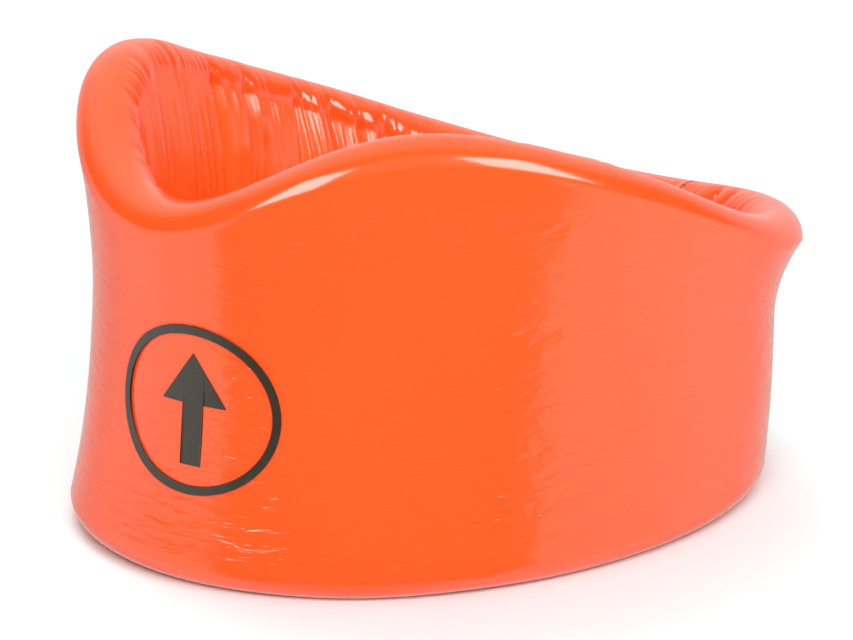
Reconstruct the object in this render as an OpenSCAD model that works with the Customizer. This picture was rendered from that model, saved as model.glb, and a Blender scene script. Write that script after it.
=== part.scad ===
// Soft cervical collar: a foam ring in a glossy cover, gathered lining inside,
// closed at the back of the neck by a hook-and-loop tab.
// Origin: floor level under the middle of the ring. -Y is the front (chin), +X the wearer's left.

/* [Ring] */
// Mean radius of the wall's outer line in plan
ring_radius = 66.5; // [60:0.5:78]
// Half the difference between the front-to-back and side-to-side half axes
ring_oval = 7; // [2:0.5:8]
// How much the front and the back differ from an even oval
ring_egg = 0.6; // [0:0.1:1]
// Gap between the two ends of the ring at the back
rear_gap = 3; // [2.4:0.2:6]

/* [Wall] */
// Whole wall thickness, with both skins
wall_t = 12.5; // [11:0.5:15]
// Thickness of the cover and of the lining
skin_t = 0.6; // [0.4:0.1:0.8]
// Radius of the bottom edges
foot_r = 5; // [3:0.5:5.2]

/* [Rim height, by angle from the front] */
// At the chin
height_000 = 73.5; // [66:0.5:80]
// At 30 degrees
height_030 = 86.5; // [80:0.5:92]
// At 60 degrees, under the jaw
height_060 = 88.5; // [82:0.5:94]
// At 90 degrees, under the ear
height_090 = 77.3; // [72:0.1:84]
// At 120 degrees
height_120 = 64; // [60:0.5:70]
// At 150 degrees
height_150 = 54.7; // [52:0.1:62]
// At the nape
height_180 = 51.1; // [48:0.1:56]
// How far the rim rises on the left and sinks on the right: sine waves once to five times round the ring
rim_tilt = [-0.2, -0.3, 0.3, -0.65, 0.55];

/* [Flare] */
// Height at which the wall is narrowest, as a share of the whole height
waist = 0.6; // [0.55:0.01:0.65]
// Mean outward flare of the bottom edge
foot_flare = 2; // [0:0.1:3]
// How much more the bottom edge flares at the chin than at the sides
foot_flare_front = 4.8; // [0:0.1:6]
// Mean outward flare of the rim
rim_flare = 8; // [4:0.5:9]
// How much more the rim flares at the nape than at the sides
rim_flare_rear = 4.5; // [0:0.5:5]

/* [Flex lines] */
// Angle of the flex line under the chin's corner
flex_jaw = 40; // [36:1:44]
// Angle of the flex line under the ear
flex_side = 85; // [80:1:90]
// Angle of the flex line behind the ear
flex_rear = 130; // [126:1:134]
// Clearance between two neighbouring segments
flex_gap = 0.4; // [0.3:0.05:0.6]

/* [Closure] */
// Width of the closure tab, up and down the wall
tab_w = 24; // [20:1:26]
// Height of the tab's lower edge
tab_z = 8; // [7:0.5:9]
// Thickness of the tab's webbing
tab_t = 1.4; // [1:0.1:1.8]
// Thickness of the loop panel
loop_t = 1.2; // [0.8:0.1:1.4]
// Thickness of the hook patch
hook_t = 0.8; // [0.6:0.1:1]

/* [Front mark] */
// Outer radius of the printed ring, up and down the wall
mark_r = 16.5; // [14:0.5:18]
// The printed ring's width as a share of its height
mark_oval = 1.16; // [1:0.01:1.2]
// Width of the printed line
mark_line = 1.7; // [1.2:0.1:2.4]
// Angle of the mark's centre from the front
mark_angle = 9; // [0:1:14]
// Height of the mark's centre
mark_z = 34.7; // [30:0.1:38]

/* [Hidden] */
// Names of the seven segments and the angles they span, from the wearer's right round to the left
SEGMENTS = [
    ["right_rear", -180, -flex_rear], ["right_side", -flex_rear, -flex_side],
    ["right_jaw", -flex_side, -flex_jaw], ["front", -flex_jaw, flex_jaw],
    ["left_jaw", flex_jaw, flex_side], ["left_side", flex_side, flex_rear],
    ["left_rear", flex_rear, 180]
];

orange = "#ff6432";
dark_orange = "#e8501f";
foam_white = "#efece4";
webbing_black = "#26262a";
print_black = "#2a1a14";

heights = [height_000, height_030, height_060, height_090, height_120, height_150, height_180];
last_height = len(heights) - 1;
rim_r = wall_t / 2;
ring_step = 5;         // angle between two sections of the ring
wall_steps = 8;        // rows up a straight wall
rim_steps = 8;         // points round the rim
foot_steps = 3;        // points round a bottom edge
glue_gap = 0.05;       // clearance between pieces that are glued or welded to each other
end_gap = degrees_at(180, rear_gap / 2);

function sum(list, i = 0) = i < len(list) ? list[i] + sum(list, i + 1) : 0;

// ---- the ring's plan ----
function plan_r(a) = ring_radius + ring_oval * cos(2 * a) + ring_egg * cos(3 * a);
function plan_slope(a) = -2 * ring_oval * sin(2 * a) - 3 * ring_egg * sin(3 * a);
function plan_tangent(a) = [
    plan_slope(a) * sin(a) + plan_r(a) * cos(a),
    plan_r(a) * sin(a) - plan_slope(a) * cos(a)
];
function outward(a) = let(t = plan_tangent(a)) [t[1], -t[0]] / norm(t);
function degrees_at(a, length) = length / norm(plan_tangent(a)) * 180 / PI;

// The point at angle a, u outside the ring's line, at height z
function place(a, u, z) = let(n = outward(a)) [
    plan_r(a) * sin(a) + u * n[0],
    u * n[1] - plan_r(a) * cos(a) + centre_y,
    z
];

// ---- the rim's height: a smooth wave through the stated heights ----
function end_half(i) = (i == 0 || i == last_height) ? 0.5 : 1;
height_waves = [
    for (k = [0:last_height])
        end_half(k) * 2 / last_height * sum([
            for (j = [0:last_height]) end_half(j) * heights[j] * cos(180 * j * k / last_height)
        ])
];
function rim_z(a) = sum([for (k = [0:last_height]) height_waves[k] * cos(k * a)])
    + sum([for (k = [1:len(rim_tilt)]) rim_tilt[k - 1] * sin(k * a)]);

// ---- the wall's lean: out at the bottom edge, in at the waist, out at the rim ----
function lean(a, z) = let(q = z / rim_z(a))
    (foot_flare + foot_flare_front * cos(a)) * pow(max(0, 1 - q / waist), 2)
    + (rim_flare - rim_flare_rear * cos(a)) * pow(max(0, (q - waist) / (1 - waist)), 2);

// The chin's bottom edge reaches furthest forward and the nape's rim furthest back.
// This puts the origin midway between them.
function rim_start(a) = rim_z(a) - rim_r;
front_reach = plan_r(0) + lean(0, foot_r);
rear_reach = plan_r(180) + lean(180, rim_start(180));
centre_y = (front_reach - rear_reach) / 2;

// ---- the wall's section at angle a, taken inset deep under its surface ----
function arc_points(a, u, z, r, from, to, steps) = [
    for (i = [0:steps])
        let(t = from + (to - from) * i / steps) place(a, u + r * cos(t), z + r * sin(t))
];
function wall_rows(a, low, high, offset, steps = wall_steps) = [
    for (i = [0:steps])
        let(z = low + (high - low) * i / steps) place(a, lean(a, z) + offset, z)
];
function reversed(list) = [for (i = [len(list) - 1:-1:0]) list[i]];
function skip_ends(list) = [for (i = [1:len(list) - 2]) list[i]];
function inner_foot(a, inset) =
    arc_points(a, lean(a, foot_r) - wall_t + foot_r, foot_r, foot_r - inset, 180, 270, foot_steps);
function outer_foot(a, inset) =
    arc_points(a, lean(a, foot_r) - foot_r, foot_r, foot_r - inset, 270, 360, foot_steps);
function rim_arc(a, inset) =
    arc_points(a, lean(a, rim_start(a)) - rim_r, rim_start(a), rim_r - inset, 0, 180, rim_steps);
function outer_wall(a, inset) = wall_rows(a, foot_r, rim_start(a), -inset);
function inner_wall(a, inset, trim = 0) =
    wall_rows(a, foot_r + trim, rim_start(a) - trim, inset - wall_t);
function cover_path(a, inset) = concat(
    inner_foot(a, inset), outer_foot(a, inset), skip_ends(outer_wall(a, inset)), rim_arc(a, inset)
);

// Every section lists its points so that the first faces the last, the second the last but one,
// and so on: loft() closes its ends with the strip between them.
function cover_section(a) = concat(cover_path(a, 0), reversed(cover_path(a, skin_t)));
function lining_section(a) = concat(
    inner_wall(a, skin_t, glue_gap), reversed(inner_wall(a, 0, glue_gap))
);
function foam_section(a) = let(skin = skin_t + glue_gap) concat(
    outer_foot(a, skin), skip_ends(outer_wall(a, skin)), rim_arc(a, skin),
    reversed(skip_ends(inner_wall(a, skin))), inner_foot(a, skin)
);

// A flat band lying on the wall from height low to height high, between two offsets
function band_section(a, low, high, inner, outer, steps = 4) = concat(
    wall_rows(a, low, high, outer, steps), reversed(wall_rows(a, low, high, inner, steps))
);

// ---- a solid through a list of sections with equal numbers of points ----
function end_strip(n) = [
    for (j = [0:ceil(n / 2) - 2])
        let(k = n - 1 - j)
        each concat([[j, j + 1, k]], k - 1 > j + 1 ? [[j + 1, k - 1, k]] : [])
];
function start_cap(n) = [for (face = end_strip(n)) reversed(face)];
function end_cap(n, first) = [for (face = end_strip(n)) [for (j = face) first + j]];

module loft(sections, closed = false) {
    n = len(sections[0]);
    last = len(sections) - 1;
    sides = [
        for (i = [0:closed ? last : last - 1], j = [0:n - 1])
            let(k = (i + 1) % (last + 1), m = (j + 1) % n)
            each [[i * n + j, i * n + m, k * n + m], [i * n + j, k * n + m, k * n + j]]
    ];
    caps = closed ? [] : concat(start_cap(n), end_cap(n, last * n));
    polyhedron([for (s = sections) each s], concat(sides, caps), convexity = 6);
}

// ---- one segment of the ring ----
function segment_row(name) = [for (s = SEGMENTS) if (s[0] == name) s][0];
function segment_start(name) = let(a = segment_row(name)[1])
    a == -180 ? a + end_gap : a + degrees_at(a, flex_gap / 2);
function segment_end(name) = let(a = segment_row(name)[2])
    a == 180 ? a - end_gap : a - degrees_at(a, flex_gap / 2);
function between(from, to, step = ring_step) = let(n = ceil(abs(to - from) / step))
    [for (i = [0:n]) from + (to - from) * i / n];

module foam_core(name) {
    skin = skin_t + glue_gap;
    start = segment_start(name) + (name == "right_rear" ? degrees_at(180, skin) : 0);
    end = segment_end(name) - (name == "left_rear" ? degrees_at(180, skin) : 0);
    color(foam_white) loft([for (a = between(start, end)) foam_section(a)]);
}
module outer_cover(name) {
    angles = between(segment_start(name), segment_end(name));
    color(orange) loft([for (a = angles) cover_section(a)]);
}
module inner_lining(name) {
    angles = between(segment_start(name), segment_end(name));
    color(dark_orange) loft([for (a = angles) lining_section(a)]);
}

// The skin that closes the foam's end at the back; side is 1 on the left, -1 on the right
module end_skin(side) {
    edge = side * (180 - end_gap);
    inside = edge - side * degrees_at(180, skin_t);
    color(orange) loft([for (a = [min(edge, inside), max(edge, inside)]) foam_section(a)]);
}

// ---- the closure at the back; angles run on past -180 to the wearer's left end ----
seat_gap = 0.15;       // clearance under a piece that is sewn to the curved wall
grip_gap = 0.3;        // clearance between the hooks and the loops
base_from = -202;
fold_angle = -187;     // line at which the tab folds back when it is peeled
panel_from = -176;
panel_to = -149;
tip_angle = -155;
tip_r = 7;             // radius of the tab's free corners
panel_margin = 2;      // how far the loop panel shows above and below the tab
hook_inner = seat_gap + loop_t + grip_gap;
tab_inner = hook_inner + hook_t + glue_gap;
tab_outer = tab_inner + tab_t;
tab_top = tab_z + tab_w;
fold_gap = degrees_at(180, flex_gap / 2);
closure_step = 2.5;

// How far a rounded corner of radius r has cut in, at distance d from the end
function corner_cut(d, r) = d >= r ? 0 : r - sqrt(max(0, r * r - (r - d) * (r - d)));
function end_distance(a, end) = abs(a - end) * norm(plan_tangent(180)) * PI / 180;

module loop_panel() {
    corner = 3;
    angles = concat(
        between(panel_from, panel_to - 2.6, closure_step), [panel_to - 1.4, panel_to - 0.6, panel_to]
    );
    color(webbing_black) loft([
        for (a = angles)
            let(cut = corner_cut(end_distance(a, panel_to), corner))
            band_section(a, tab_z - panel_margin + cut, tab_top + panel_margin - cut,
                seat_gap, seat_gap + loop_t)
    ]);
}

// The tab's free length: straight along the wall with a rounded tip
module free_band(from, to, inset, inner, outer) {
    tip_angles = [for (d = [6.2, 4, 2.2, 1, 0.3]) to - degrees_at(180, d)];
    angles = concat(between(from, to - degrees_at(180, tip_r + 1), closure_step), tip_angles, [to]);
    color(webbing_black) loft([
        for (a = angles)
            let(cut = inset + corner_cut(end_distance(a, to), tip_r))
            band_section(a, tab_z + cut, tab_top - cut, inner, outer)
    ]);
}
module closure_tab() {
    free_band(fold_angle + fold_gap, tip_angle, 0, tab_inner, tab_outer);
}
module hook_patch() {
    patch_inset = 1.5;
    free_band(panel_from, tip_angle - 1.5, patch_inset, hook_inner, hook_inner + hook_t);
}

// The tab's sewn length: flat on the wall, rising to the fold line
module tab_base() {
    rise_from = -195;
    function rise(a) = let(t = max(0, (a - rise_from) / (fold_angle - rise_from)))
        (tab_inner - seat_gap) * t * t * (3 - 2 * t);
    color(webbing_black) loft([
        for (a = between(base_from, fold_angle - fold_gap, closure_step))
            band_section(a, tab_z, tab_top, seat_gap + rise(a), seat_gap + rise(a) + tab_t)
    ]);
}

// ---- stitches: short round bars lying on a sewn piece ----
thread_r = 0.3;
stitch_length = 2.2;
stitch_pitch = 3;
module upright_stitch(a, z, surface) {
    translate(place(a, lean(a, z) + surface + thread_r + seat_gap, z - stitch_length / 2))
        cylinder(h = stitch_length, r = thread_r, $fn = 16);
}
module upright_row(a, surface, low, high) {
    for (z = [low:stitch_pitch:high])
        upright_stitch(a, z, surface);
}
module level_stitch(a, z, surface) {
    n = outward(a);
    translate(place(a, lean(a, z) + surface + thread_r + seat_gap, z))
        rotate([90, 0, atan2(n[1], n[0])])
            translate([0, 0, -stitch_length / 2])
                cylinder(h = stitch_length, r = thread_r, $fn = 16);
}
module level_row(z, surface, from, to) {
    step = degrees_at(180, stitch_pitch);
    for (a = [from:step:to])
        level_stitch(a, z, surface);
}
module tab_stitching() {
    surface = seat_gap + tab_t;
    color(webbing_black) {
        upright_row(base_from + 1.6, surface, tab_z + 2.5, tab_top - 2);
        upright_row(base_from + 6.4, surface, tab_z + 2.5, tab_top - 2);
        level_row(tab_z + 1.2, surface, base_from + 2.9, base_from + 5.5);
        level_row(tab_top - 1.2, surface, base_from + 2.9, base_from + 5.5);
    }
}
module loop_stitching() {
    surface = seat_gap + loop_t;
    color(webbing_black) {
        upright_row(panel_to - 1.6, surface, tab_z + 1.5, tab_top);
        level_row(tab_z - panel_margin + 0.9, surface, panel_from + 1.5, panel_to - 4);
        level_row(tab_top + panel_margin - 0.9, surface, panel_from + 1.5, panel_to - 4);
    }
}

// ---- the printed mark on the front: a plain ring round an arrow that points up ----
print_low = 0.12;      // clear of the cover's facets
print_high = 0.3;
function mark_degrees(length) = degrees_at(mark_angle, length);
module front_mark_ring() {
    function point(t, r, offset) = let(
        a = mark_angle + mark_degrees((r + mark_r * (mark_oval - 1)) * cos(t)),
        z = mark_z + r * sin(t)
    ) place(a, lean(a, z) + offset, z);
    inner_r = mark_r - mark_line;
    color(print_black) loft(closed = true, [
        for (t = [0:5:355]) [
            point(t, inner_r, print_high), point(t, inner_r, print_low),
            point(t, mark_r, print_low), point(t, mark_r, print_high)
        ]
    ]);
}
module front_mark_arrow() {
    head_half = 7.5;
    shaft_half = 2.4;
    tip = mark_z + 11;
    head_foot = mark_z + 1;
    shaft_foot = mark_z - 11;
    shoulder = 0.02;
    blunt = 0.2;       // the barbs end in a short upright edge
    function top(x) = tip - (tip - head_foot - blunt) * abs(x) / head_half;
    function foot(x) = abs(x) > shaft_half ? head_foot : shaft_foot;
    columns = [
        -head_half, -5, -shaft_half - shoulder, -shaft_half, 0,
        shaft_half, shaft_half + shoulder, 5, head_half
    ];
    color(print_black) loft([
        for (x = columns)
            band_section(mark_angle + mark_degrees(x), foot(x), top(x), print_low, print_high, 3)
    ]);
}

foam_core("front");  // foam_core_front
outer_cover("front");  // outer_cover_front
inner_lining("front");  // inner_lining_front
foam_core("left_jaw");  // foam_core_left_jaw
outer_cover("left_jaw");  // outer_cover_left_jaw
inner_lining("left_jaw");  // inner_lining_left_jaw
foam_core("left_side");  // foam_core_left_side
outer_cover("left_side");  // outer_cover_left_side
inner_lining("left_side");  // inner_lining_left_side
foam_core("left_rear");  // foam_core_left_rear
outer_cover("left_rear");  // outer_cover_left_rear
inner_lining("left_rear");  // inner_lining_left_rear
end_skin(1);  // end_skin_left
foam_core("right_jaw");  // foam_core_right_jaw
outer_cover("right_jaw");  // outer_cover_right_jaw
inner_lining("right_jaw");  // inner_lining_right_jaw
foam_core("right_side");  // foam_core_right_side
outer_cover("right_side");  // outer_cover_right_side
inner_lining("right_side");  // inner_lining_right_side
foam_core("right_rear");  // foam_core_right_rear
outer_cover("right_rear");  // outer_cover_right_rear
inner_lining("right_rear");  // inner_lining_right_rear
end_skin(-1);  // end_skin_right
loop_panel();
loop_stitching();
tab_base();
tab_stitching();
closure_tab();
hook_patch();
front_mark_ring();
front_mark_arrow();
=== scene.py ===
"""A soft cervical collar: glossy cover, gathered lining and foam, with its closure at the back."""
import math

import bpy
import numpy as np
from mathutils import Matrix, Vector


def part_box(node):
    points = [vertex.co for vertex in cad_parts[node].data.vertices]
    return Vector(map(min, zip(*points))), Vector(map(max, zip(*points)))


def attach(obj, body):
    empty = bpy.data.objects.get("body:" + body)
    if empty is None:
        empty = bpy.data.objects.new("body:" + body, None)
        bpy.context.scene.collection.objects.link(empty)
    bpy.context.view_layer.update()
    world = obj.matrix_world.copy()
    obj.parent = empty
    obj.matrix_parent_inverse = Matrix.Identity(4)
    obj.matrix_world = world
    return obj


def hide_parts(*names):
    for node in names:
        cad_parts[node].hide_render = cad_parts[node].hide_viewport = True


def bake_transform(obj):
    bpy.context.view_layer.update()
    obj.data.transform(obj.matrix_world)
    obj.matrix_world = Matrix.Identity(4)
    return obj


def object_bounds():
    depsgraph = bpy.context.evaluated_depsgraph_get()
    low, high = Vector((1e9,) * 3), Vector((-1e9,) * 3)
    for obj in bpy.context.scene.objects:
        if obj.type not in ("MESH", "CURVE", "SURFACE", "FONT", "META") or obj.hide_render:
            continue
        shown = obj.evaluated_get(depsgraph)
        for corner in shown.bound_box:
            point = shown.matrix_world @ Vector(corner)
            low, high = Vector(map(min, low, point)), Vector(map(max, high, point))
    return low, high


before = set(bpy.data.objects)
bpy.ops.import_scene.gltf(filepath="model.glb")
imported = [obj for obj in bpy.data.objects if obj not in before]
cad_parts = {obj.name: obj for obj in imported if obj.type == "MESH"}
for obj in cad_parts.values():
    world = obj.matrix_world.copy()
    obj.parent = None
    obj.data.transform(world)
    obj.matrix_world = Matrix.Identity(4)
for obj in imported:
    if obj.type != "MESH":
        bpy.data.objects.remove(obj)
cad_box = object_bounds()
MM = 0.001

# ---- driving dimensions of the ring, in millimetres: the CAD source's, but for the three marked ones ----
RING_RADIUS = 66.5
RING_OVAL = 7.0
RING_EGG = 0.6
SEAM_GAP = 0.5  # own value: the soft ends almost touch
WALL = 12.5
FOOT_R = 5.0
RIM_R = WALL / 2
RIM_HEIGHTS = (73.5, 86.5, 88.5, 77.3, 64.0, 54.7, 51.1)  # every 30 degrees from chin to nape
RIM_TILT = (-0.2, -0.3, 0.3, -0.65, 0.55)  # how far waves lift the rim on the left and sink it on the right
WAIST = 0.6  # where the wall is narrowest, as a share of its height
FOOT_FLARE = (2.0, 4.8)  # mean, and how much more at the chin
RIM_FLARE = (7.3, -3.8)  # own values: mean, and how much more at the chin
SKIN = 0.5  # own value: thickness of the cover and of the lining


def levels(node):
    """The heights of a CAD node's lowest and highest point, in millimetres."""
    low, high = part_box(node)
    return low.z / MM, high.z / MM


# ---- the closure: angles in degrees from the chin, running on past -180 to the wearer's left end ----
BASE_FROM, FOLD, PANEL_FROM, PANEL_TO, TIP = -202.0, -187.0, -176.0, -149.0, -155.0
TAB_FOOT, TAB_TOP = levels("closure_tab")
PANEL_FOOT, PANEL_TOP = levels("loop_panel")
TIP_R = 7.0  # radius of the strap's free corners
PANEL_R = 3.0  # radius of the loop panel's corners
TAB_THICK, LOOP_THICK, HOOK_THICK = 1.4, 1.2, 0.8
SEAT_GAP, GRIP_GAP, GLUE_GAP = 0.15, 0.3, 0.05  # under a sewn piece, between hooks and loops, under the tab
HOOK_INNER = SEAT_GAP + LOOP_THICK + GRIP_GAP
TAB_INNER = HOOK_INNER + HOOK_THICK + GLUE_GAP

# ---- the printed mark ----
mark_foot, mark_top = levels("front_mark_ring")
MARK_ANGLE = 9.0  # degrees from the chin
MARK_Z = (mark_foot + mark_top) / 2
MARK_R = (mark_top - mark_foot) / 2
MARK_OVAL = 1.16  # the ring's width as a share of its height
MARK_LINE = 1.7
PRINT_RISE, PRINT_THICK = 0.2, 0.3


# ---- the ring's form: the CAD source's formulas ----
def height_waves():
    """The cosine waves that add up to the rim's stated heights."""
    last = len(RIM_HEIGHTS) - 1
    stations = np.arange(last + 1)
    ends = np.where((stations == 0) | (stations == last), 0.5, 1.0)
    heights = ends * np.array(RIM_HEIGHTS)
    return [
        ends[k] * 2 / last * np.sum(heights * np.cos(math.pi * stations * k / last))
        for k in range(last + 1)
    ]


WAVES = height_waves()


def rim_z(a):
    even = sum(wave * np.cos(k * a) for k, wave in enumerate(WAVES))
    odd = sum(wave * np.sin((k + 1) * a) for k, wave in enumerate(RIM_TILT))
    return even + odd


def rim_start(a):
    return rim_z(a) - RIM_R


def plan_r(a):
    return RING_RADIUS + RING_OVAL * np.cos(2 * a) + RING_EGG * np.cos(3 * a)


def tangent(a):
    slope = -2 * RING_OVAL * np.sin(2 * a) - 3 * RING_EGG * np.sin(3 * a)
    r = plan_r(a)
    return np.stack(
        [slope * np.sin(a) + r * np.cos(a), r * np.sin(a) - slope * np.cos(a)], -1
    )


def lean(a, z):
    q = z / rim_z(a)
    foot = (FOOT_FLARE[0] + FOOT_FLARE[1] * np.cos(a)) * np.maximum(0, 1 - q / WAIST) ** 2
    rim = (RIM_FLARE[0] + RIM_FLARE[1] * np.cos(a)) * np.maximum(0, (q - WAIST) / (1 - WAIST)) ** 2
    return foot + rim


FRONT_REACH = plan_r(0) + lean(0, FOOT_R)
CENTRE_Y = FRONT_REACH + cad_box[0][1] / MM


def place(a, u, z):
    """Points in metres at angle a from the chin, u outside the ring's line and z up, in millimetres."""
    t = tangent(a)
    length = np.linalg.norm(t, axis=-1)
    r = plan_r(a)
    x = r * np.sin(a) + u * t[..., 1] / length
    y = CENTRE_Y - r * np.cos(a) - u * t[..., 0] / length
    return np.stack(np.broadcast_arrays(x, y, z), -1) * MM


def along(a, length):
    """The change of angle that moves a point length millimetres along the ring at angle a."""
    return length / float(np.linalg.norm(tangent(np.float64(a))))


def ring_length(a):
    """Distance along the ring's line from the chin, in millimetres."""
    speed = np.linalg.norm(tangent(a), axis=-1)
    steps = np.diff(a) * (speed[1:] + speed[:-1]) / 2
    run = np.concatenate([[0], np.cumsum(steps)])
    return run - np.interp(0, a, run)


# ---- helpers for numbers ----
def smooth(t):
    t = np.clip(t, 0, 1)
    return t * t * (3 - 2 * t)


def soft_noise(seed, x, y, size_x, size_y, terms=14):
    """A smooth random surface of about unit height, with bumps about size_x by size_y wide."""
    rng = np.random.default_rng(seed)
    total = np.zeros(np.broadcast(x, y).shape)
    for _ in range(terms):
        kx, ky = rng.normal(0, 2.2 / size_x), rng.normal(0, 2.2 / size_y)
        total += np.sin(kx * x + ky * y + rng.uniform(0, 2 * math.pi))
    return total / math.sqrt(terms / 2)


# ---- the gathers of the lining ----
def creases(seed, s, h, count, depth, width, reach, slant):
    """Depth of many narrow creases that run up the wall.

    s is the distance along the ring and h the share of the height; reach holds the ranges in which
    the creases end below and above.
    """
    rng = np.random.default_rng(seed)
    half = float(s.max() - s.min()) / 2
    pitch = 2 * half / count
    total = np.zeros(s.shape)
    for k in range(count):
        centre = -half + (k + rng.uniform(0.1, 0.9)) * pitch
        lean_over, sway = rng.normal(0, slant), rng.normal(0, slant * 0.35)
        phase = rng.uniform(0, 6.3)
        own_depth = depth * rng.uniform(0.35, 1.25)
        own_width = width * rng.uniform(0.6, 1.5)
        top = rng.uniform(*reach[1])
        bottom = rng.uniform(*reach[0])
        near = np.abs(s[:, 0] - centre) < own_width * 9 + slant * 3
        if not near.any():
            continue
        x, y = s[near], h[near]
        line = centre + lean_over * (y - 0.5) + sway * np.sin(5 * y + phase)
        off = np.sqrt((x - line) ** 2 + (0.25 * own_width) ** 2) / own_width
        ends = smooth((y - bottom) / 0.12) * smooth((top - y) / 0.12)
        total[near] += own_depth * np.exp(-off) * ends
    return total


DEEP_FOLDS = [  # place along the ring, foot and top as shares of the height, depth and slant
    (-87.0, 0.2, 1.0, 2.3, -1.0),
    (-91.6, 0.35, 0.78, 1.2, 2.0),
    (-97.2, 0.3, 1.0, 2.1, -2.0),
    (-100.6, 0.1, 0.86, 1.6, -5.0),
    (-112.5, 0.15, 1.0, 2.2, -9.0),
    (-124.0, 0.1, 1.0, 1.7, 3.0),
    (-137.0, 0.2, 1.0, 1.5, -3.0),
    (194.5, 0.0, 1.15, 2.6, 3.0),
    (202.0, 0.0, 1.15, 2.8, -3.0),
]


def deep_folds(s, h):
    total = np.zeros(s.shape)
    for centre, foot, top, depth, slant in DEEP_FOLDS:
        line = centre + slant * (h - 0.8)
        off = np.sqrt((s - line) ** 2 + 0.04) / 1.5
        total += depth * np.exp(-off) * smooth((h - foot) / 0.1) * smooth((top - h) / 0.08)
    return total


def gathers(s, h):
    """How far the lining stands out of its smooth line, in millimetres."""
    deep = creases(11, s, h, 46, 1.3, 1.2, ((-0.3, 0.1), (0.9, 1.3)), 4.0)
    middle = creases(12, s, h, 150, 0.75, 0.75, ((-0.3, 0.6), (0.9, 1.3)), 2.0)
    fine = creases(13, s, h, 300, 0.34, 0.45, ((-0.3, 0.8), (0.8, 1.3)), 0.9)
    smooth_panel = smooth((17 - np.abs(s + 99)) / 5)  # fewer small pleats among the deepest folds
    near_rim = smooth((h - 0.86) / 0.13)
    deep *= (1 - 0.8 * smooth_panel) * (1 - 0.85 * near_rim)
    small = (middle * (1 - 0.55 * near_rim) + fine) * (1 - 0.6 * smooth_panel)
    swell = (1.0 + 0.3 * soft_noise(15, s, h, 12, 0.8)) * (1 - 0.6 * near_rim)
    return swell - deep - small - deep_folds(s, h)


# ---- grids on the wall ----
COLUMNS = 1200
REAR = math.pi - along(math.pi, SEAM_GAP / 2)
ANGLES = np.linspace(-REAR, REAR, COLUMNS + 1)
LENGTHS = ring_length(ANGLES)


def section_rows():
    """Rows round the wall's section, each a kind and how far along its kind it is."""
    rows = [("inner_foot", t) for t in np.linspace(0, 1, 9)]
    rows += [("floor", t) for t in np.linspace(0, 1, 4)[1:-1]]
    rows += [("outer_foot", t) for t in np.linspace(0, 1, 11)]
    rows += [("outer_wall", t) for t in np.linspace(0, 1, 43)[1:]]
    rows += [("rim", t) for t in np.linspace(0, 1, 31)[1:]]
    rows += [("lining", t) for t in np.linspace(0, 1, 57)[1:]]
    return rows


def section_point(kind, t, a):
    """Offset and height of one row at the angles a, and how much of the gathers it takes."""
    foot, top = FOOT_R, rim_start(a)
    foot_u, top_u = lean(a, foot), lean(a, top)
    none = np.zeros_like(a)
    if kind == "inner_foot":
        turn = math.pi * (1 + t / 2)
        share = 1 - smooth(t * 1.4)
        z = foot + FOOT_R * math.sin(turn) + none
        return foot_u - WALL + FOOT_R * (1 + math.cos(turn)), z, share
    if kind == "floor":
        return foot_u - WALL + FOOT_R + t * (WALL - 2 * FOOT_R), none, 0
    if kind == "outer_foot":
        turn = math.pi * (1.5 + t / 2)
        return foot_u - FOOT_R * (1 - math.cos(turn)), foot + FOOT_R * math.sin(turn) + none, 0
    if kind == "outer_wall":
        z = foot + t * (top - foot)
        return lean(a, z), z, 0
    if kind == "rim":
        turn = math.pi * t
        share = smooth((t - 0.45 - 0.12 * smooth((np.cos(a) - 0.55) / 0.3)) / 0.25)
        return top_u - RIM_R * (1 - math.cos(turn)), top + RIM_R * math.sin(turn), share
    z = top - t * (top - foot)
    return lean(a, z) - WALL, z, 1


def surface_normals(points, loop=True):
    """Unit normals of a grid of points; loop says that its last row meets its first."""
    across = np.gradient(points, axis=0)
    if loop:
        up = np.roll(points, -1, axis=1) - np.roll(points, 1, axis=1)
    else:
        up = np.gradient(points, axis=1)
    normal = np.cross(across, up)
    return normal / np.maximum(np.linalg.norm(normal, axis=-1), 1e-12)[..., None]


def wall_grid():
    """The whole skin, closed round the section: points, normals, flat places, kinds and tautness."""
    rows = section_rows()
    a = ANGLES
    bare = np.empty((len(a), len(rows), 3))
    shares = np.empty((len(a), len(rows)))
    for j, (kind, t) in enumerate(rows):
        u, z, shares[:, j] = section_point(kind, t, a)
        bare[:, j] = place(a, u, z)
    bare, shares = bare[:, :-1], shares[:, :-1]  # the last row is the first
    normals = surface_normals(bare)
    rise = np.linalg.norm(np.diff(bare, axis=1), axis=-1)
    flat_v = np.concatenate([np.zeros((len(a), 1)), np.cumsum(rise, axis=1)], axis=1)
    s = np.repeat(LENGTHS[:, None], bare.shape[1], axis=1)
    h = bare[..., 2] / (rim_z(a)[:, None] * MM)
    stand = gathers(s, h) * shares
    outside = (1 - shares) * 0.05 * soft_noise(21, s, flat_v / MM, 22, 16)
    groove = shallow_crease(s, bare[..., 2] / MM) * (1 - shares)
    points = bare + normals * (stand + outside - groove)[..., None] * MM
    flat = np.stack([s * MM, flat_v], -1)
    kinds = [kind for kind, _ in rows[:-1]]
    level = bare[..., 2] / MM
    taut = smooth((rim_start(a)[:, None] - level) / 9) * smooth((level - 2) / 6) * (1 - shares)
    return points, surface_normals(points), flat, kinds, taut


def shallow_crease(s, z):
    """One faint crease in the cover, nearly level, below the ear on the wearer's left."""
    middle, half_length, level, width = 80.0, 11.0, 49.4, 1.0
    line = level + 0.3 * np.cos((s - middle) / 7)
    ends = smooth(1.5 * (1 - np.abs(s - middle) / half_length))
    return 0.22 * np.exp(-(((z - line) / width) ** 2)) * ends


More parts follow.
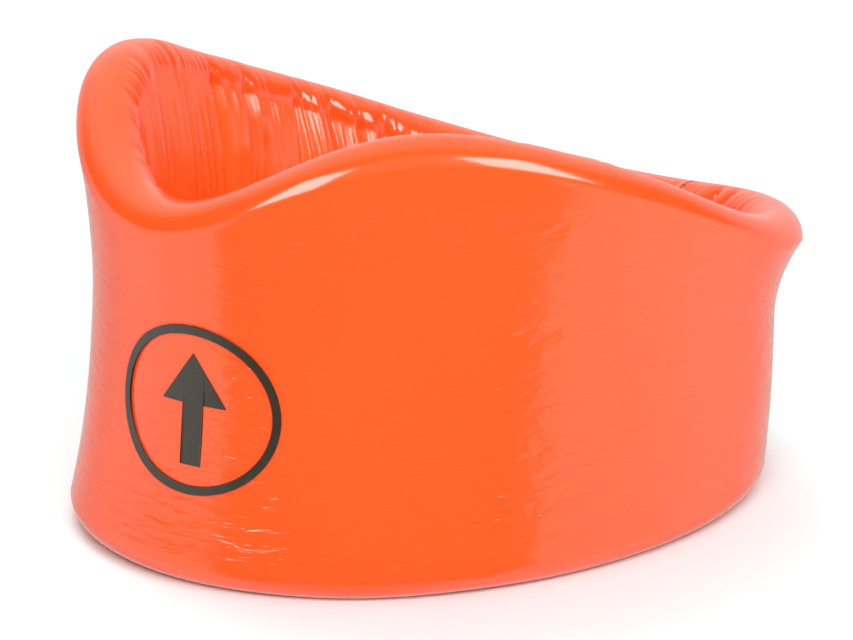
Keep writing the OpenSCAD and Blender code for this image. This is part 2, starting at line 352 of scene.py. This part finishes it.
# ---- meshes ----
def shell(name, points, normals, flat, thick, material, taut=None):
    """A closed thin sheet: the grid, the same grid thick metres behind it, and a strip round the edge.

    taut says where the sheet shows the fine wrinkles of a stretched skin.
    """
    ni, nj = points.shape[:2]
    front = np.arange(ni * nj).reshape(ni, nj)
    back = front + ni * nj
    quads = [
        np.stack([front[:-1, :-1], front[1:, :-1], front[1:, 1:], front[:-1, 1:]], -1),
        np.stack([back[:-1, :-1], back[:-1, 1:], back[1:, 1:], back[1:, :-1]], -1),
    ]
    edge = np.concatenate([front[:, 0], front[-1, 1:], front[-2::-1, -1], front[0, -2:0:-1]])
    after = np.roll(edge, -1)
    strip = np.stack([edge, edge + ni * nj, after + ni * nj, after], -1)
    faces = np.concatenate([q.reshape(-1, 4) for q in quads] + [strip])
    corners = np.concatenate([points.reshape(-1, 3), (points - normals * thick).reshape(-1, 3)])
    mesh = bpy.data.meshes.new(name)
    mesh.vertices.add(len(corners))
    mesh.vertices.foreach_set("co", corners.ravel().astype(np.float32))
    mesh.loops.add(faces.size)
    mesh.loops.foreach_set("vertex_index", faces.ravel().astype(np.int32))
    mesh.polygons.add(len(faces))
    mesh.polygons.foreach_set("loop_start", np.arange(0, faces.size, 4, dtype=np.int32))
    mesh.update(calc_edges=True)
    mesh.polygons.foreach_set("use_smooth", np.arange(len(faces)) < len(faces) - len(strip))
    uv = mesh.uv_layers.new(name="flat")
    places = np.concatenate([flat.reshape(-1, 2)] * 2)[faces.ravel()]
    uv.data.foreach_set("uv", places.ravel().astype(np.float32))
    mesh.materials.append(material)
    if taut is not None:
        layer = mesh.attributes.new("taut", "FLOAT", "POINT")
        layer.data.foreach_set("value", np.tile(taut.ravel(), 2).astype(np.float32))
    own = np.concatenate([normals.reshape(-1, 3), -normals.reshape(-1, 3)])
    mesh.normals_split_custom_set_from_vertices(own.tolist())
    piece = bpy.data.objects.new(name, mesh)
    bpy.context.collection.objects.link(piece)
    return piece


# ---- materials ----
class Material:
    """A Principled material with short helpers for its procedural nodes."""

    def __init__(self, name, color, roughness, **sockets):
        self.material = bpy.data.materials.new(name)
        self.material.use_nodes = True
        self.nodes = self.material.node_tree.nodes
        self.links = self.material.node_tree.links
        self.shader = self.nodes["Principled BSDF"]
        self.shader.inputs["Base Color"].default_value = (*color, 1)
        self.shader.inputs["Roughness"].default_value = roughness
        for socket, value in sockets.items():
            self.shader.inputs[socket.replace("_", " ")].default_value = value
        self.normal = None

    def link(self, a, b):
        self.links.new(a, b)

    def flat_place(self, scale_u, scale_v):
        """The piece's flat place in metres, stretched for a pattern."""
        uv = self.nodes.new("ShaderNodeUVMap")
        uv.uv_map = "flat"
        mapping = self.nodes.new("ShaderNodeMapping")
        mapping.inputs["Scale"].default_value = (scale_u, scale_v, 1)
        self.link(uv.outputs["UV"], mapping.inputs["Vector"])
        return mapping.outputs["Vector"]

    def noise(self, scale_u, scale_v, detail=3.0, rough=0.5, distortion=0.0):
        noise = self.nodes.new("ShaderNodeTexNoise")
        noise.inputs["Scale"].default_value = 1.0
        noise.inputs["Detail"].default_value = detail
        noise.inputs["Roughness"].default_value = rough
        noise.inputs["Distortion"].default_value = distortion
        self.link(self.flat_place(scale_u, scale_v), noise.inputs["Vector"])
        return noise.outputs["Fac"]

    def wave(self, scale_u, scale_v, axis):
        wave = self.nodes.new("ShaderNodeTexWave")
        wave.bands_direction = axis
        wave.inputs["Scale"].default_value = 1.0
        self.link(self.flat_place(scale_u, scale_v), wave.inputs["Vector"])
        return wave.outputs["Fac"]

    def attribute(self, name):
        node = self.nodes.new("ShaderNodeAttribute")
        node.attribute_name = name
        return node.outputs["Fac"]

    def product(self, a, b):
        node = self.nodes.new("ShaderNodeMath")
        node.operation = "MULTIPLY"
        self.link(a, node.inputs[0])
        self.link(b, node.inputs[1])
        return node.outputs["Value"]

    def ramp(self, factor, low, high):
        """factor, spread from 0 to 1 over the range low to high."""
        node = self.nodes.new("ShaderNodeMapRange")
        node.inputs["To Min"].default_value = low
        node.inputs["To Max"].default_value = high
        self.link(factor, node.inputs["Value"])
        return node.outputs["Result"]

    def mix(self, factor, first, second):
        node = self.nodes.new("ShaderNodeMix")
        node.data_type = "RGBA"
        node.inputs["A"].default_value = (*first, 1)
        node.inputs["B"].default_value = (*second, 1)
        self.link(factor, node.inputs["Factor"])
        return node.outputs["Result"]

    def bump(self, height, depth):
        """Adds a bump of depth metres on top of the ones added before."""
        node = self.nodes.new("ShaderNodeBump")
        node.inputs["Strength"].default_value = 1.0
        node.inputs["Distance"].default_value = depth
        self.link(height, node.inputs["Height"])
        if self.normal:
            self.link(self.normal, node.inputs["Normal"])
        self.normal = node.outputs["Normal"]
        self.link(self.normal, self.shader.inputs["Normal"])

    def set(self, socket, value):
        self.link(value, self.shader.inputs[socket])


ORANGE = (0.95, 0.090, 0.013)
DEEP_ORANGE = (0.93, 0.080, 0.010)
# painted light: the lining's copy of the cover's orange, lighter in green and blue so the inside of the
# ring reads brighter
LINING_PAINTED_LIGHT_ORANGE = (0.96, 0.125, 0.018)


def cover_vinyl():
    """Glossy vinyl pulled tight, with fine level wrinkles."""
    m = Material("cover_vinyl", ORANGE, 0.16, IOR=1.48)
    m.set("Base Color", m.mix(m.noise(30, 30, 2), ORANGE, DEEP_ORANGE))
    m.set("Roughness", m.ramp(m.noise(90, 140, 3), 0.10, 0.2))
    wrinkles = m.product(m.noise(120, 800, 3, 0.55, 0.6), m.attribute("taut"))
    ripples = m.product(m.noise(170, 480, 2, 0.5, 0.5), m.attribute("taut"))
    m.bump(wrinkles, 0.00014)
    m.bump(ripples, 0.00025)
    m.bump(m.noise(45, 60, 2), 0.0001)
    return m.material


def lining_vinyl():
    """The same vinyl, creased by its gathers, in a lighter copy of the cover's orange: painted light on the
    inside of the ring.
    """
    m = Material("lining_vinyl", LINING_PAINTED_LIGHT_ORANGE, 0.2, IOR=1.48)
    # painted light on the inside of the ring: the lighter orange, mixed at random with the cover's own
    m.set("Base Color", m.mix(m.noise(60, 20, 3), LINING_PAINTED_LIGHT_ORANGE, ORANGE))
    m.set("Roughness", m.ramp(m.noise(200, 60, 3), 0.14, 0.27))
    m.bump(m.noise(1100, 60, 3, 0.6, 0.5), 0.00022)
    m.bump(m.noise(300, 500, 2), 0.00008)
    return m.material


def print_ink():
    m = Material("print_ink", (0.035, 0.028, 0.018), 0.35, IOR=1.45)
    m.set("Base Color", m.mix(m.noise(400, 400, 3), (0.034, 0.024, 0.013), (0.024, 0.017, 0.009)))
    m.set("Roughness", m.ramp(m.noise(500, 500, 3), 0.28, 0.42))
    m.bump(m.noise(900, 900, 2), 0.00001)
    return m.material


def foam():
    m = Material("foam", (0.86, 0.83, 0.74), 0.95)
    m.set("Base Color", m.mix(m.noise(900, 900, 3), (0.88, 0.85, 0.77), (0.72, 0.68, 0.58)))
    m.bump(m.noise(1300, 1300, 3), 0.0004)
    return m.material


def webbing():
    """Woven strap: warp and weft crossing."""
    m = Material("closure_webbing", (0.02, 0.02, 0.022), 0.75, Sheen_Weight=0.12, Sheen_Roughness=0.5)
    warp = m.wave(600, 1, "X")
    weft = m.wave(1, 900, "Y")
    weave = m.product(warp, weft)
    m.set("Base Color", m.mix(weave, (0.012, 0.012, 0.014), (0.045, 0.045, 0.05)))
    m.set("Roughness", m.ramp(weave, 0.7, 0.5))
    m.bump(weave, 0.00025)
    m.bump(m.noise(2500, 2500, 2), 0.00005)
    return m.material


def loop_pile():
    m = Material("loop_pile", (0.018, 0.018, 0.02), 0.95, Sheen_Weight=0.7, Sheen_Roughness=0.6)
    tuft = m.noise(1700, 1700, 3, 0.7, 2.0)
    m.set("Base Color", m.mix(tuft, (0.008, 0.008, 0.009), (0.05, 0.05, 0.055)))
    m.bump(tuft, 0.0006)
    return m.material


def hook_tape():
    m = Material("hook_tape", (0.015, 0.015, 0.017), 0.45)
    hooks = m.product(m.wave(500, 1, "X"), m.wave(1, 500, "Y"))
    m.set("Base Color", m.mix(hooks, (0.01, 0.01, 0.011), (0.05, 0.05, 0.054)))
    m.bump(hooks, 0.0004)
    return m.material


def thread():
    m = Material("thread", (0.03, 0.03, 0.033), 0.6, Sheen_Weight=0.3)
    twist = m.wave(1800, 900, "DIAGONAL")
    m.set("Base Color", m.mix(twist, (0.018, 0.018, 0.02), (0.07, 0.07, 0.075)))
    m.bump(twist, 0.0001)
    return m.material


COVER = cover_vinyl()
LINING = lining_vinyl()
INK = print_ink()
FOAM = foam()
WEBBING = webbing()
PILE = loop_pile()
HOOKS = hook_tape()
THREAD = thread()

# ---- the spans of the ring: each runs across one flex line ----
deg = math.radians
SPANS = [  # a body, the body it hangs on, the span's two angles, and the two angles of its flex line
    ("left_jaw", "front", 0, 62.5, 27, 62),
    ("left_side", "left_jaw", 62.5, 107.5, 63, 107),
    ("left_rear", "left_side", 107.5, 180, 108, 147),
    ("right_jaw", "front", 0, -62.5, -27, -62),
    ("right_side", "right_jaw", -62.5, -107.5, -63, -107),
    ("right_rear", "right_side", -107.5, -180, -108, -147),
]


def bend_point(angle):
    return Vector(place(np.float64(deg(angle)), -3.0, 0.0))


def column(angle):
    """The grid's column nearest to an angle in degrees."""
    return int(np.abs(ANGLES - deg(angle)).argmin())


def bend(piece, span):
    child, parent, _, _, start, end = span
    bend_point(start)
    bend_point(end)
    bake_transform(piece)


def skin_pieces():
    """A cover and a lining for each span; the edge of the lining's last row lies on the cover's first."""
    points, normals, flat, kinds, taut = wall_grid()
    weld = kinds.index("lining")
    for span in SPANS:
        child, parent, low, high, _, _ = span
        first, last = sorted((column(low), column(high)))
        columns = slice(first, last + 1)
        cover = shell(
            f"cover_{child}", points[columns, :weld], normals[columns, :weld],
            flat[columns, :weld], SKIN * MM, COVER, taut[columns, :weld],
        )
        rows = list(range(weld - 1, points.shape[1])) + [0]
        places = flat[columns][:, rows].copy()
        places[:, -1, 1] = places[:, -2, 1] + (places[:, -2, 1] - places[:, -3, 1])
        lining = shell(
            f"lining_{child}", points[columns][:, rows], normals[columns][:, rows],
            places, SKIN * MM, LINING,
        )
        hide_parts(f"outer_cover_{child}", f"outer_cover_{parent}")
        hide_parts(f"inner_lining_{child}", f"inner_lining_{parent}")
        bend(cover, span)
        bend(lining, span)
    return points


def foam_pieces():
    """The foam behind the skins: a plain closed wall, clear of the deepest creases."""
    behind_cover, behind_lining, behind_rim, above_floor, behind_end = 0.8, 3.0, 1.2, 0.9, 1.6
    limit = REAR - along(math.pi, behind_end)
    turns = np.linspace(0, 1, 9)
    for span in SPANS:
        child, parent, low, high, _, _ = span
        start, end = np.clip(sorted((deg(low), deg(high))), -limit, limit)
        a = np.linspace(start, end, 30)[:, None]
        top, foot = rim_start(a), FOOT_R
        walls = foot + turns[None, :] * (top - foot)
        outer = place(a, lean(a, walls) - behind_cover, walls)
        inner = place(a, lean(a, walls) - WALL + behind_lining, walls)[:, ::-1]
        half = (WALL - behind_cover - behind_lining) / 2
        middle = lean(a, top) - behind_cover - half
        arc = math.pi * turns[None, 1:-1]
        cap = place(a, middle + half * np.cos(arc), top + (RIM_R - behind_rim) * np.sin(arc))
        middle = lean(a, foot) - behind_cover - half
        base_z = foot - (FOOT_R - above_floor) * np.sin(arc)
        base = place(a, middle - half * np.cos(arc), base_z)
        foot_half = base.shape[1] // 2
        loop = np.concatenate([base[:, foot_half:], outer, cap, inner, base[:, :foot_half]], axis=1)
        piece = closed_tube(f"foam_{child}", loop, FOAM)
        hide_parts(f"foam_core_{child}", f"foam_core_{parent}")
        bend(piece, span)


def closed_tube(name, rings, material):
    """A closed solid through rings of points, with level strips over its ends.

    Point 0 of a ring is at its foot and the middle point at its top.
    """
    ni, nj = rings.shape[:2]
    corners = rings.reshape(-1, 3)
    last = (ni - 1) * nj
    faces = []
    for i in range(ni - 1):
        for j in range(nj):
            here, beside = i * nj + j, i * nj + (j + 1) % nj
            faces.append((here, here + nj, beside + nj, beside))
    for j in range(1, nj // 2):
        strip = (j, j + 1, nj - j - 1, nj - j)
        faces.append(strip if j + 1 < nj - j - 1 else strip[:2] + strip[3:])
        faces.append(tuple(last + k for k in reversed(faces[-1])))
    faces += [(0, 1, nj - 1), (last + nj - 1, last + 1, last)]
    mesh = bpy.data.meshes.new(name)
    mesh.from_pydata(corners.tolist(), [], faces)
    mesh.polygons.foreach_set("use_smooth", [True] * len(faces))
    uv = mesh.uv_layers.new(name="flat")
    for loop in mesh.loops:
        x, y, z = corners[loop.vertex_index]
        uv.data[loop.index].uv = (math.atan2(x, -y) * RING_RADIUS * MM, z)
    mesh.materials.append(material)
    piece = bpy.data.objects.new(name, mesh)
    bpy.context.collection.objects.link(piece)
    return piece


skin_points = skin_pieces()
foam_pieces()


# ---- the skins over the foam's two ends ----
def end_skins():
    """A slightly domed skin over each end, from the wall's edge in to the middle of its thickness."""
    dome, thick = 0.12 * MM, 0.4 * MM
    for side, body, index in (("left", "left_rear", -1), ("right", "right_rear", 0)):
        edge = skin_points[index]
        a = ANGLES[index]
        top = rim_start(a)
        z = np.clip(edge[:, 2] / MM, FOOT_R, top)
        spine = place(a, lean(a, z) - WALL / 2, z)
        t = tangent(a)
        outward = np.array([t[0], t[1], 0]) / np.linalg.norm(t) * (1 if side == "left" else -1)
        grid = np.stack([
            edge + (spine - edge) * share + outward * dome * (1 - (1 - share) ** 2)
            for share in np.linspace(0, 1, 7)
        ], 1)
        grid = np.concatenate([grid, grid[:1]])
        if side == "left":
            grid = grid[::-1]
        flat = np.stack([grid[..., 1], grid[..., 2]], -1)
        normals = np.broadcast_to(outward, grid.shape)
        skin = shell(f"skin_{side}_end", grid, normals, flat, thick, COVER)
        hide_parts(f"end_skin_{side}")
        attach(skin, body)


# ---- flat pieces that follow the wall ----
def band(columns, lows, highs, offsets, rows):
    """A grid over the wall: one column per angle in degrees, from its low to its high height."""
    a = np.radians(columns)[:, None]
    share = np.linspace(0, 1, rows)[None, :]
    z = lows[:, None] + (highs - lows)[:, None] * share
    return place(a, lean(a, z) + offsets[:, None], z)


def band_flat(grid):
    """The grid's flat places in metres: along its middle row and up its columns."""
    middle = grid[:, grid.shape[1] // 2]
    along_it = np.concatenate([[0], np.cumsum(np.linalg.norm(np.diff(middle, axis=0), axis=-1))])
    up_it = grid[..., 2] - grid[..., 2].min()
    return np.stack([np.repeat(along_it[:, None], grid.shape[1], axis=1), up_it], -1)


def corner_cut(distance, r):
    """How far a rounded corner of radius r has cut in, at a distance from the end."""
    inside = np.clip(r - distance, 0, r)
    return r - np.sqrt(r * r - inside * inside)


# Millimetres along the ring for each degree at the nape
BACK_SPEED = deg(float(np.linalg.norm(tangent(np.float64(math.pi)))))


def closure_strap():
    """The sewn base and the free length as one woven strap that folds between them."""
    columns = np.linspace(BASE_FROM, TIP, 241)
    columns[-1] -= 0.02  # leaves the tip a short edge
    rise_from = BASE_FROM + 7
    rise = smooth((columns - rise_from) / (FOLD - rise_from)) * (TAB_INNER - SEAT_GAP)
    cut = corner_cut((TIP - columns) * BACK_SPEED, TIP_R)
    grid = band(columns, TAB_FOOT + cut, TAB_TOP - cut, SEAT_GAP + rise + TAB_THICK, 33)
    outward = surface_normals(grid, False)
    strap = shell("closure_strap", grid, outward, band_flat(grid), TAB_THICK * MM, WEBBING)
    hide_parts("tab_base", "closure_tab")
    half_bend = 2.5
    middle = (TAB_FOOT + TAB_TOP) / 2
    ends = [
        Vector(place(np.float64(deg(FOLD + side * half_bend / BACK_SPEED)), TAB_INNER, middle))
        for side in (-1, 1)
    ]
    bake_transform(strap)


def hook_layer():
    """Rows of small hooks on the tab's inner side."""
    inset, pitch, hook_height, thick = 1.5, 0.9, 0.2, HOOK_THICK - 0.25
    columns = np.linspace(PANEL_FROM, TIP - inset, 181)
    cut = inset + corner_cut((columns[-1] - columns) * BACK_SPEED, TIP_R)
    offsets = np.full(columns.shape, HOOK_INNER + hook_height)
    grid = band(columns, TAB_FOOT + cut, TAB_TOP - cut, offsets, 141)
    flat = band_flat(grid)
    waves = np.sin(flat * 2 * math.pi / (pitch * MM))
    hooks = np.clip(waves[..., 0] * waves[..., 1], 0, 1)
    grid = grid - surface_normals(grid, False) * (hooks * hook_height * MM)[..., None]
    grid, flat = grid[::-1], flat[::-1]
    layer = shell("hook_layer", grid, surface_normals(grid, False), flat, thick * MM, HOOKS)
    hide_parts("hook_patch")
    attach(layer, "peel_tab")


def loop_layer():
    """The soft loop panel the hooks grip."""
    columns = np.linspace(PANEL_FROM, PANEL_TO, 201)
    cut = corner_cut((PANEL_TO - columns) * BACK_SPEED, PANEL_R)
    offsets = np.full(columns.shape, SEAT_GAP + LOOP_THICK)
    grid = band(columns, PANEL_FOOT + cut, PANEL_TOP - cut, offsets, 161)
    flat = band_flat(grid)
    fuzz = np.random.default_rng(31).normal(0, 0.07, grid.shape[:2])
    grid = grid + surface_normals(grid, False) * (fuzz * MM)[..., None]
    thick = (LOOP_THICK - 0.1) * MM
    layer = shell("loop_layer", grid, surface_normals(grid, False), flat, thick, PILE)
    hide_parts("loop_panel")
    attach(layer, "right_rear")


# ---- stitches: thin bars with rounded ends ----
STITCH_PITCH, STITCH_HALF, STITCH_R, STITCH_RISE = 3.0, 1.1, 0.3, 0.1


def stitch_mesh(name, stitches, material):
    """One piece of many stitches, each given by its middle and its half length as a vector."""
    sides, rings, r = 8, 7, STITCH_R * MM
    corners, faces = [], []
    for middle, half in stitches:
        axis = half / np.linalg.norm(half)
        across = np.cross(axis, (0, 0, 1.0) if abs(axis[2]) < 0.9 else (1.0, 0, 0))
        across /= np.linalg.norm(across)
        third = np.cross(axis, across)
        first = len(corners)
        for k in range(rings):
            share = -1 + 2 * k / (rings - 1)
            round_off = math.sqrt(max(0.08, 1 - share**6))
            for m in range(sides):
                turn = 2 * math.pi * m / sides
                rim = (across * math.cos(turn) + third * math.sin(turn)) * r * round_off
                corners.append(middle + half * share + rim)
        for k in range(rings - 1):
            for m in range(sides):
                a, b = first + k * sides + m, first + k * sides + (m + 1) % sides
                faces.append((a, b, b + sides, a + sides))
        faces.append(tuple(range(first + sides - 1, first - 1, -1)))
        last = first + (rings - 1) * sides
        faces.append(tuple(range(last, last + sides)))
    mesh = bpy.data.meshes.new(name)
    mesh.from_pydata([tuple(c) for c in corners], [], faces)
    mesh.polygons.foreach_set("use_smooth", [True] * len(faces))
    uv = mesh.uv_layers.new(name="flat")
    for loop in mesh.loops:
        x, y, z = corners[loop.vertex_index]
        uv.data[loop.index].uv = (x + y, z)
    mesh.materials.append(material)
    piece = bpy.data.objects.new(name, mesh)
    bpy.context.collection.objects.link(piece)
    return piece


def stitch(angle, z, surface, level):
    """The middle and half length of one stitch at an angle in degrees, level or upright."""
    a = np.float64(deg(angle))
    rise = surface + STITCH_RISE
    middle = place(a, lean(a, z) + rise, z)
    if level:
        t = tangent(a)
        return middle, np.array([t[0], t[1], 0]) / np.linalg.norm(t) * STITCH_HALF * MM
    end_z = z + STITCH_HALF
    return middle, place(a, lean(a, end_z) + rise, end_z) - middle


def stitched(name, replaced, body, surface, upright_rows, level_rows):
    """Stitches in upright rows (angle, from z, to z) and level rows (z, from angle, to angle)."""
    stitches = [
        stitch(angle, z, surface, False)
        for angle, low, high in upright_rows
        for z in np.arange(low, high + 0.01, STITCH_PITCH)
    ]
    stitches += [
        stitch(angle, z, surface, True)
        for z, first, last in level_rows
        for angle in np.arange(first, last + 0.01, STITCH_PITCH / BACK_SPEED)
    ]
    piece = stitch_mesh(name, stitches, THREAD)
    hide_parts(replaced)
    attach(piece, body)


def all_stitching():
    """A box of stitches on the strap's base, and a row along three edges of the loop panel."""
    strap_uprights = [(BASE_FROM + d, TAB_FOOT + 2.5, TAB_TOP - 2) for d in (1.6, 6.4)]
    strap_levels = [(z, BASE_FROM + 2.9, BASE_FROM + 5.5) for z in (TAB_FOOT + 1.2, TAB_TOP - 1.2)]
    stitched(
        "strap_stitches", "tab_stitching", "left_rear", SEAT_GAP + TAB_THICK,
        strap_uprights, strap_levels,
    )
    panel_uprights = [(PANEL_TO - 1.6, TAB_FOOT + 1.5, TAB_TOP)]
    panel_levels = [(z, PANEL_FROM + 1.5, PANEL_TO - 4) for z in (PANEL_FOOT + 0.9, PANEL_TOP - 0.9)]
    stitched(
        "loop_stitches", "loop_stitching", "right_rear", SEAT_GAP + LOOP_THICK,
        panel_uprights, panel_levels,
    )


# ---- the printed mark: a plain ring round an arrow that points up ----
def mark_points(x, z):
    """Points on the cover, x to the wearer's left of the mark's middle and z up, in millimetres."""
    middle = deg(MARK_ANGLE)
    a = middle + along(middle, x)
    return place(a, lean(a, MARK_Z + z) + PRINT_RISE, MARK_Z + z)


def printed(name, replaced, x, z):
    grid = mark_points(x, z)
    flat = np.stack([x, z], -1) * MM
    layer = shell(name, grid, surface_normals(grid, False), flat, PRINT_THICK * MM, INK)
    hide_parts(replaced)
    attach(layer, "front")


def mark():
    turn = np.linspace(0, 2 * math.pi, 181)[:, None]
    r = np.linspace(MARK_R, MARK_R - MARK_LINE, 5)[None, :]
    x = (r + MARK_R * (MARK_OVAL - 1)) * np.cos(turn)
    printed("mark_ring", "front_mark_ring", x[::-1], (r * np.sin(turn))[::-1])
    head_half, shaft_half, half_height, head_foot, blunt = 7.5, 2.4, 11.0, 1.0, 0.2
    shoulder = shaft_half + 0.02
    columns = np.concatenate([
        np.linspace(-head_half, -shoulder, 9), np.linspace(-shaft_half, shaft_half, 9),
        np.linspace(shoulder, head_half, 9),
    ])
    top = half_height - (half_height - head_foot - blunt) * np.abs(columns) / head_half
    foot = np.where(np.abs(columns) > shaft_half, head_foot, -half_height)
    z = foot[:, None] + (top - foot)[:, None] * np.linspace(0, 1, 15)[None, :]
    x = np.repeat(columns[:, None], 15, axis=1)
    printed("mark_arrow", "front_mark_arrow", x, z)


end_skins()
closure_strap()
hook_layer()
loop_layer()
all_stitching()
mark()


# ---- camera and light: azimuths in degrees from the chin round to the wearer's left ----
CAMERA_AZIMUTH, CAMERA_ELEVATION = 48.3, 16.8
CAMERA_DISTANCE = 1.0
CAMERA_LENS = 208.9
TARGET_HEIGHT, TARGET_SHIFT = 0.0351, 0.0023  # above the floor, and how far to the picture's left


def direction(azimuth, elevation):
    a, e = deg(azimuth), deg(elevation)
    return Vector((math.sin(a) * math.cos(e), -math.cos(a) * math.cos(e), math.sin(e)))


def stage():
    size = 6.0
    corners = [(-size, -size, 0), (size, -size, 0), (size, size, 0), (-size, size, 0)]
    mesh = bpy.data.meshes.new("floor")
    mesh.from_pydata(corners, [], [(0, 1, 2, 3)])
    mesh.materials.append(Material("floor_white", (0.80, 0.90, 0.91), 0.9).material)
    floor = bpy.data.objects.new("floor", mesh)
    floor.visible_glossy = False  # the glossy skin shows the studio's own table instead
    bpy.context.collection.objects.link(floor)


def lamp(name, azimuth, elevation, distance, size, power, mirrored):
    """A rectangular light seen from the object at a direction; mirrored ones only make highlights."""
    light = bpy.data.lights.new(name, "AREA")
    light.shape = "RECTANGLE"
    light.size, light.size_y = size
    light.energy = power
    holder = bpy.data.objects.new(name, light)
    outward = direction(azimuth, elevation)
    holder.location = outward * distance + Vector((0, 0, 0.04))
    holder.rotation_mode = "QUATERNION"
    holder.rotation_quaternion = outward.to_track_quat("Z", "Y")
    holder.visible_camera = False
    holder.visible_glossy = mirrored
    holder.visible_diffuse = not mirrored
    bpy.context.collection.objects.link(holder)


def studio():
    """What the glossy skin mirrors: a white table, backdrop and ceiling, darker along the horizon."""
    world = bpy.data.worlds.new("studio")
    bpy.context.scene.world = world
    world.use_nodes = True
    nodes, links = world.node_tree.nodes, world.node_tree.links
    background = nodes["Background"]

    def math_node(operation, *values):
        node = nodes.new("ShaderNodeMath")
        node.operation = operation
        for socket, value in zip(node.inputs, values):
            if isinstance(value, (int, float)):
                socket.default_value = value
            else:
                links.new(value, socket)
        return node.outputs["Value"]

    def step(value, low, high):
        """0 at low, 1 at high, and smooth between them."""
        node = nodes.new("ShaderNodeMapRange")
        node.interpolation_type = "SMOOTHSTEP"
        node.inputs["From Min"].default_value = low
        node.inputs["From Max"].default_value = high
        links.new(value, node.inputs["Value"])
        return node.outputs["Result"]

    parts = nodes.new("ShaderNodeSeparateXYZ")
    links.new(nodes.new("ShaderNodeTexCoord").outputs["Generated"], parts.inputs["Vector"])
    x, y, z = parts.outputs
    squares = math_node("ADD", math_node("MULTIPLY", x, x), math_node("MULTIPLY", y, y))
    level = math_node("SQRT", squares)
    front = math_node(
        "ADD",
        math_node("MULTIPLY", x, math.sin(deg(CAMERA_AZIMUTH))),
        math_node("MULTIPLY", y, -math.cos(deg(CAMERA_AZIMUTH))),
    )
    facing = math_node("DIVIDE", front, level)  # 1 on the camera's side of the studio, -1 opposite
    table = math_node("MULTIPLY", step(facing, 0.57, 0.53), step(z, 0.12, 0.04))
    falloff = math_node("SUBTRACT", 1.4, math_node("MULTIPLY", step(facing, -0.1, -0.8), 0.85))
    table = math_node("MULTIPLY", table, falloff)
    under = step(z, -0.66, -0.8)
    backdrop = math_node("MULTIPLY", step(facing, -0.5, -0.75), 0.6)
    overhead = math_node("SUBTRACT", math_node("MULTIPLY", z, 0.8), math_node("MULTIPLY", front, 0.6))
    ceiling = step(overhead, 0.5, 0.85)
    below = math_node("MAXIMUM", table, under)
    above = math_node("MAXIMUM", backdrop, ceiling)
    strength = math_node("ADD", math_node("MAXIMUM", below, above), 0.1)
    links.new(strength, background.inputs["Strength"])
    background.inputs["Color"].default_value = (1, 1, 1, 1)


def camera():
    data = bpy.data.cameras.new("camera")
    data.lens, data.sensor_width = CAMERA_LENS, 36.0
    data.clip_start, data.clip_end = 0.01, 20.0
    view = bpy.data.objects.new("camera", data)
    bpy.context.collection.objects.link(view)
    back = direction(CAMERA_AZIMUTH, CAMERA_ELEVATION)
    right = direction(CAMERA_AZIMUTH + 90, 0)
    target = Vector((0, CENTRE_Y * MM, TARGET_HEIGHT)) - right * TARGET_SHIFT
    view.location = target + back * CAMERA_DISTANCE
    view.rotation_mode = "QUATERNION"
    view.rotation_quaternion = back.to_track_quat("Z", "Y")
    bpy.context.scene.camera = view


stage()
camera()
studio()
lamp("left_softbox", 3, 30, 1.6, (0.8, 0.8), 26, mirrored=True)
lamp("right_softbox", 107, 31, 1.6, (0.9, 0.7), 26, mirrored=True)
lamp("key", -110, 58, 2.0, (1.1, 1.1), 15, mirrored=False)
lamp("fill", 58, 38, 2.2, (2.4, 1.6), 64, mirrored=False)
bpy.context.scene.view_settings.view_transform = "Standard"
